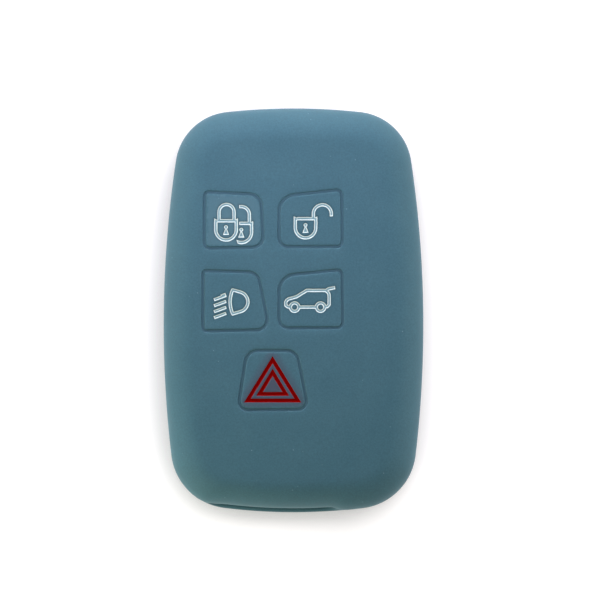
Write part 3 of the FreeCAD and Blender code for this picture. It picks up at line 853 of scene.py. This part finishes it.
def edge_normals(loop):
    """Directions square to a loop at its points, to the right of the way it runs."""
    along = np.roll(loop, -1, axis=0) - loop
    along = along / np.linalg.norm(along, axis=1)[:, None]
    mean = along + np.roll(along, 1, axis=0)
    mean = mean / np.maximum(np.linalg.norm(mean, axis=1)[:, None], LEAST_GAP)
    return np.column_stack([mean[:, 1], -mean[:, 0]])


def thinned(points, fixed):
    """Points that keep a least gap to each other and to fixed ones."""
    taken = {tuple(cell) for cell in np.floor(fixed / LEAST_GAP).astype(int)}
    kept = []
    for point in points:
        cell = tuple(np.floor(point / LEAST_GAP).astype(int))
        if cell not in taken:
            taken.add(cell)
            kept.append(point)
    return np.array(kept)


def pad_face(rim, symbol):
    """Triangles over a pad's face, with rows of points along both sides of its symbols' edges."""
    rows = []
    for level in SYMBOL_ROWS:
        for loop in symbol:
            row = loop + level * edge_normals(loop)
            rows.append(row[abs(signed_distance(row, symbol) - level) < ROW_SLACK])
    grid = grid_over([rim], PAD_SPACING, PAD_SPACING / 2)
    grid = grid[signed_distance(grid, symbol) > SYMBOL_CLEARANCE]
    fixed = np.vstack([rim] + symbol)
    flat, triangles = triangulate([rim] + symbol, thinned(np.vstack(rows + [grid]), fixed))
    return flat, triangles[inside(flat[triangles].mean(1), [rim])]


def pad_depth(away):
    """How far the pad's face lies below its crown, by the distance to a symbol's edge."""
    shoulder = SHOULDER_DROP * np.clip(1 - away / SHOULDER_WIDTH, 0, 1) ** 2
    channel = CHANNEL_DEPTH * ramp(-away / CHANNEL_WIDTH)
    return np.where(away < 0, SHOULDER_DROP, shoulder) + channel


def pad_marks_and_painted_light(name, flat, away, symbol, middle):
    """How strong each mark, painted light and painted shade is at the points of a pad's face."""
    marks = {mark: np.zeros(len(flat)) for mark in MARK_AND_PAINTED_LIGHT_TONES}
    if name == RED_BUTTON:
        outermost = max(symbol, key=lambda loop: abs(area(loop)))
        beside = BLOOM_BESIDE * ramp(1 - away / BLOOM_REACH)
        marks["red_bloom"] = np.where(inside(flat, [outermost]), BLOOM_INSIDE, beside)
    else:
        # Painted shade on the channel's shoulder along the edges of the white ink
        marks["channel_painted_shade"] = SHADE_STRENGTH * np.clip(1 - away / SHADE_REACH, 0, 1)
    # Painted highlight, paler towards the lock button's middle, for a soft reflection of a lamp
    if name == HIGHLIT_BUTTON:
        from_middle = np.linalg.norm(flat - middle, axis=1)
        marks["painted_light"] = HIGHLIGHT_STRENGTH * ramp(1 - from_middle / HIGHLIGHT_REACH)
    return marks


def pad_body(name, outline):
    """The edge of a pad's face, and the parts below it: side, boss, ring round the boss and boss end."""
    under = THICKNESS - FRONT_WALL
    rim = arc((-GROOVE_EDGE, THICKNESS - GROOVE_EDGE), GROOVE_EDGE, 90, 0, EDGE_STEPS)
    rim += [(0.0, under), (-UNDERSIDE_STEP, under)]
    side, side_faces = sweep(outline, rim)
    foot = anticlockwise(face_loops(name + "_pad", faces_down_below_ceiling)[0])
    section = arc((BOSS_EDGE, under - BOSS_EDGE), BOSS_EDGE, 90, 180, EDGE_STEPS)
    section += arc((-BOSS_EDGE, under - BOSS_HEIGHT + BOSS_EDGE), BOSS_EDGE, 0, -90, EDGE_STEPS)
    boss, boss_faces = sweep(divided(foot, OUTLINE_STEP), section)
    ring, ring_faces = filled([side[:, -1, :2], boss[:, 0, :2]], PAD_SPACING)
    tip, tip_faces = filled([boss[:, -1, :2]], PAD_SPACING)
    parts = [
        (side, side_faces),
        (boss, boss_faces),
        (raised(ring, crown(ring) - FRONT_WALL), ring_faces),
        (raised(tip, crown(tip) - FRONT_WALL - BOSS_HEIGHT), tip_faces),
    ]
    return side[:, 0, :2], parts


def make_button(name, outline, inks):
    """A pad with the ink of its symbols."""
    rim, body = pad_body(name, outline)
    loops = {ink: [divided(loop, SYMBOL_STEP) for loop in face_loops(ink, faces_up)] for ink in inks}
    symbol = [loop for group in loops.values() for loop in group]
    flat, triangles = pad_face(rim, symbol)
    away = signed_distance(flat, symbol)
    # The points of the symbols' own edges come straight after those of the rim
    away[len(rim):len(rim) + sum(len(loop) for loop in symbol)] = 0.0
    height = crown(flat)
    parts = [(raised(flat, height - pad_depth(away)), triangles)] + body
    unmarked = np.zeros(sum(points.size // 3 for points, _ in body))
    face_marks = pad_marks_and_painted_light(name, flat, away, symbol, outline.mean(0))
    marks = {mark: np.concatenate([numbers, unmarked]) for mark, numbers in face_marks.items()}
    pad = make_piece(name + "_button_pad", parts, SILICONE, "silicone", **marks)
    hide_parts(name + "_pad")
    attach(pad, name + "_button")
    centres = flat[triangles].mean(1)
    for ink, ink_loops in loops.items():
        make_ink(name, ink, flat, triangles[inside(centres, ink_loops)], away, height)


def make_ink(name, node, flat, triangles, away, height):
    """A line of ink: a closed lens that is dished on top and fills the channel below."""
    depth = np.clip(-away, 0, None)
    # A triangle in a sharp corner with all its points on the edge has no thickness
    triangles = triangles[depth[triangles].max(1) > 0]
    dish = SHOULDER_DROP + INK_DISH * ramp(depth / INK_DISH_WIDTH)
    belly = SHOULDER_DROP + INK_BODY * ramp(depth / INK_BODY_WIDTH)
    used = np.unique(triangles)
    renumber = np.zeros(len(flat), int)
    renumber[used] = np.arange(len(used))
    faces = renumber[triangles]
    parts = [
        (raised(flat, height - dish)[used], faces),
        (raised(flat, height - belly)[used], faces[:, ::-1]),
    ]
    material, slot = (RED_INK, "red_ink") if name == RED_BUTTON else (WHITE_INK, "white_ink")
    piece = node.replace("_ink", "_symbol")
    ink = make_piece(piece, parts, material, slot, stroke_depth=np.tile(depth[used], 2))
    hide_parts(node)
    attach(ink, name + "_button")


def make_web(name, outline):
    """The thin web in the groove, between the sleeve and the pad."""
    floor = THICKNESS - FRONT_WALL
    foot = THICKNESS - GROOVE_DEPTH + GROOVE_FOOT
    section = [(0.0, floor), (GROOVE_WIDTH, floor)]
    section += arc((GROOVE_WIDTH - GROOVE_FOOT, foot), GROOVE_FOOT, 0, -90, EDGE_STEPS)
    section += arc((GROOVE_FOOT, foot), GROOVE_FOOT, -90, -180, EDGE_STEPS)
    points, faces = sweep(outline, section, closed=True)
    # Painted light: the whole web is painted paler, lifting the shade in the groove
    marks = {
        "follow": np.tile([1 - out / GROOVE_WIDTH for out, _ in section], len(outline)),
        "painted_light": np.full(len(section) * len(outline), GROOVE_LIGHTENING),
    }
    web = make_piece(name + "_groove_web", [(points, faces)], SILICONE, "silicone", **marks)
    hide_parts(name + "_web")
    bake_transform(web)
    # The share of the way across the groove is read from the web, and then taken off it
    shares = np.zeros(len(web.data.vertices), np.float32)
    web.data.attributes["follow"].data.foreach_get("value", shares)
    web.data.attributes.remove(web.data.attributes["follow"])


# Floor, light and camera

def shown_rays(tree):
    """1 for the rays that show a surface to the eye, straight or by way of gloss or glass."""
    ray = add(tree, "ShaderNodeLightPath").outputs
    shown = ray["Is Camera Ray"]
    for kind in ("Is Glossy Ray", "Is Transmission Ray"):
        shown = add(tree, "ShaderNodeMath", {0: shown, 1: ray[kind]}, operation="MAXIMUM").outputs[0]
    return shown


def pale_floor():
    """A white sheet that shows the shadow and is white to the camera where it is fully lit."""
    material, tree, shader = new_material("white paper")
    lit_from = add(tree, "ShaderNodeCombineXYZ", SHADOW_FROM)
    open_sky = add(
        tree, "ShaderNodeAmbientOcclusion", {"Distance": SHADOW_REACH, "Normal": lit_from.outputs[0]},
    )
    level = add(
        tree, "ShaderNodeMapRange", {"Value": open_sky.outputs["AO"], **SHADOW_GLOW},
        interpolation_type="SMOOTHSTEP",
    )
    # No glow under the cover, where hardly any sky is open
    overhead = add(tree, "ShaderNodeAmbientOcclusion", {"Distance": COVER_REACH})
    uncovered = add(tree, "ShaderNodeMapRange", {"Value": overhead.outputs["AO"], **COVERED_SKY})
    glow = shown_rays(tree)
    for share in (uncovered.outputs[0], level.outputs[0]):
        glow = add(tree, "ShaderNodeMath", {0: glow, 1: share}, operation="MULTIPLY").outputs[0]
    set_inputs(tree, shader, {
        "Base Color": colour(FLOOR_TONE), **FLOOR_FINISH,
        "Emission Color": colour(GLOW_TONE), "Emission Strength": glow,
    })
    mesh = bpy.data.meshes.new("floor")
    sides = [(-1, -1), (1, -1), (1, 1), (-1, 1)]
    corners = [(x * FLOOR_REACH, y * FLOOR_REACH, -FLOOR_DROP) for x, y in sides]
    mesh.from_pydata(corners, [], [(0, 1, 2, 3)])
    mesh.materials.append(material)
    floor = bpy.data.objects.new("floor", mesh)
    bpy.context.scene.collection.objects.link(floor)


def soft_surroundings():
    """Light from all round that is stronger low down, and nearly white where it is seen."""
    world = bpy.data.worlds.new("soft surroundings")
    bpy.context.scene.world = world
    world.use_nodes = True
    tree = world.node_tree
    direction = add(tree, "ShaderNodeTexCoord").outputs["Generated"]
    axes = add(tree, "ShaderNodeSeparateXYZ", {0: direction}).outputs
    sway = add(tree, "ShaderNodeVectorMath", {0: direction, 1: HORIZON_SWAY}, operation="DOT_PRODUCT")
    horizon = add(
        tree, "ShaderNodeMath", {0: sway.outputs["Value"], 1: HORIZON_LIGHT}, operation="ADD",
    )
    down = add(tree, "ShaderNodeMath", {0: 1.0, 1: axes["Z"]}, operation="SUBTRACT", use_clamp=True)
    fall = add(tree, "ShaderNodeMath", {0: down.outputs[0], 1: HORIZON_FALL}, operation="POWER")
    level = add(tree, "ShaderNodeMath", {0: horizon.outputs[0], 1: fall.outputs[0]}, operation="MULTIPLY")
    strength = add(
        tree, "ShaderNodeMapRange", {"Value": shown_rays(tree), "To Min": level.outputs[0], "To Max": 1.0},
    )
    side = add(tree, "ShaderNodeMapRange", {"Value": axes["Y"], "From Min": -1.0, "From Max": 1.0})
    bottom, top = map(colour, HORIZON_TONES)
    tint = add(tree, "ShaderNodeMix", {0: side.outputs[0], 6: bottom, 7: top}, data_type="RGBA")
    set_inputs(
        tree, tree.nodes["Background"], {"Color": tint.outputs[2], "Strength": strength.outputs[0]},
    )


def area_lamp(name, place, aim, size, power, tint):
    data = bpy.data.lights.new(name, "AREA")
    data.shape = "DISK"
    data.size = size
    data.energy = power
    data.color = colour(tint)[:3]
    lamp = bpy.data.objects.new(name, data)
    lamp.location = place
    lamp.rotation_euler = (Vector(aim) - Vector(place)).to_track_quat("-Z", "Y").to_euler()
    bpy.context.scene.collection.objects.link(lamp)


def camera():
    data = bpy.data.cameras.new("camera")
    data.sensor_width = SENSOR
    data.lens = SENSOR * (CAMERA_HEIGHT - THICKNESS * MM / 2) / FRAME_WIDTH
    view = bpy.data.objects.new("camera", data)
    view.location = (*AIM, CAMERA_HEIGHT)
    bpy.context.scene.collection.objects.link(view)
    bpy.context.scene.camera = view


SILICONE = moulded_silicone()
WHITE_INK = channel_ink("white silicone ink", WHITE_TONES, WHITE_GLOSS)
RED_INK = channel_ink("red silicone ink", RED_TONES, RED_GLOSS)
SWEEP = moulded_sweep_tree()

# Each web's outer loop is the opening in the sleeve, and its inner loop is the outline of the pad
outlines = {}
for button in INKS:
    found = sorted(face_loops(button + "_web", faces_up), key=lambda loop: -abs(area(loop)))
    outlines[button] = [divided(anticlockwise(loop), OUTLINE_STEP) for loop in found]
make_sleeve([opening for opening, _ in outlines.values()])
for button, (_, pad_outline) in outlines.items():
    make_button(button, pad_outline, INKS[button])
    make_web(button, pad_outline)

pale_floor()
soft_surroundings()
for lamp in LAMPS:
    area_lamp(**lamp)
camera()
bpy.context.scene.view_settings.view_transform = "Standard"
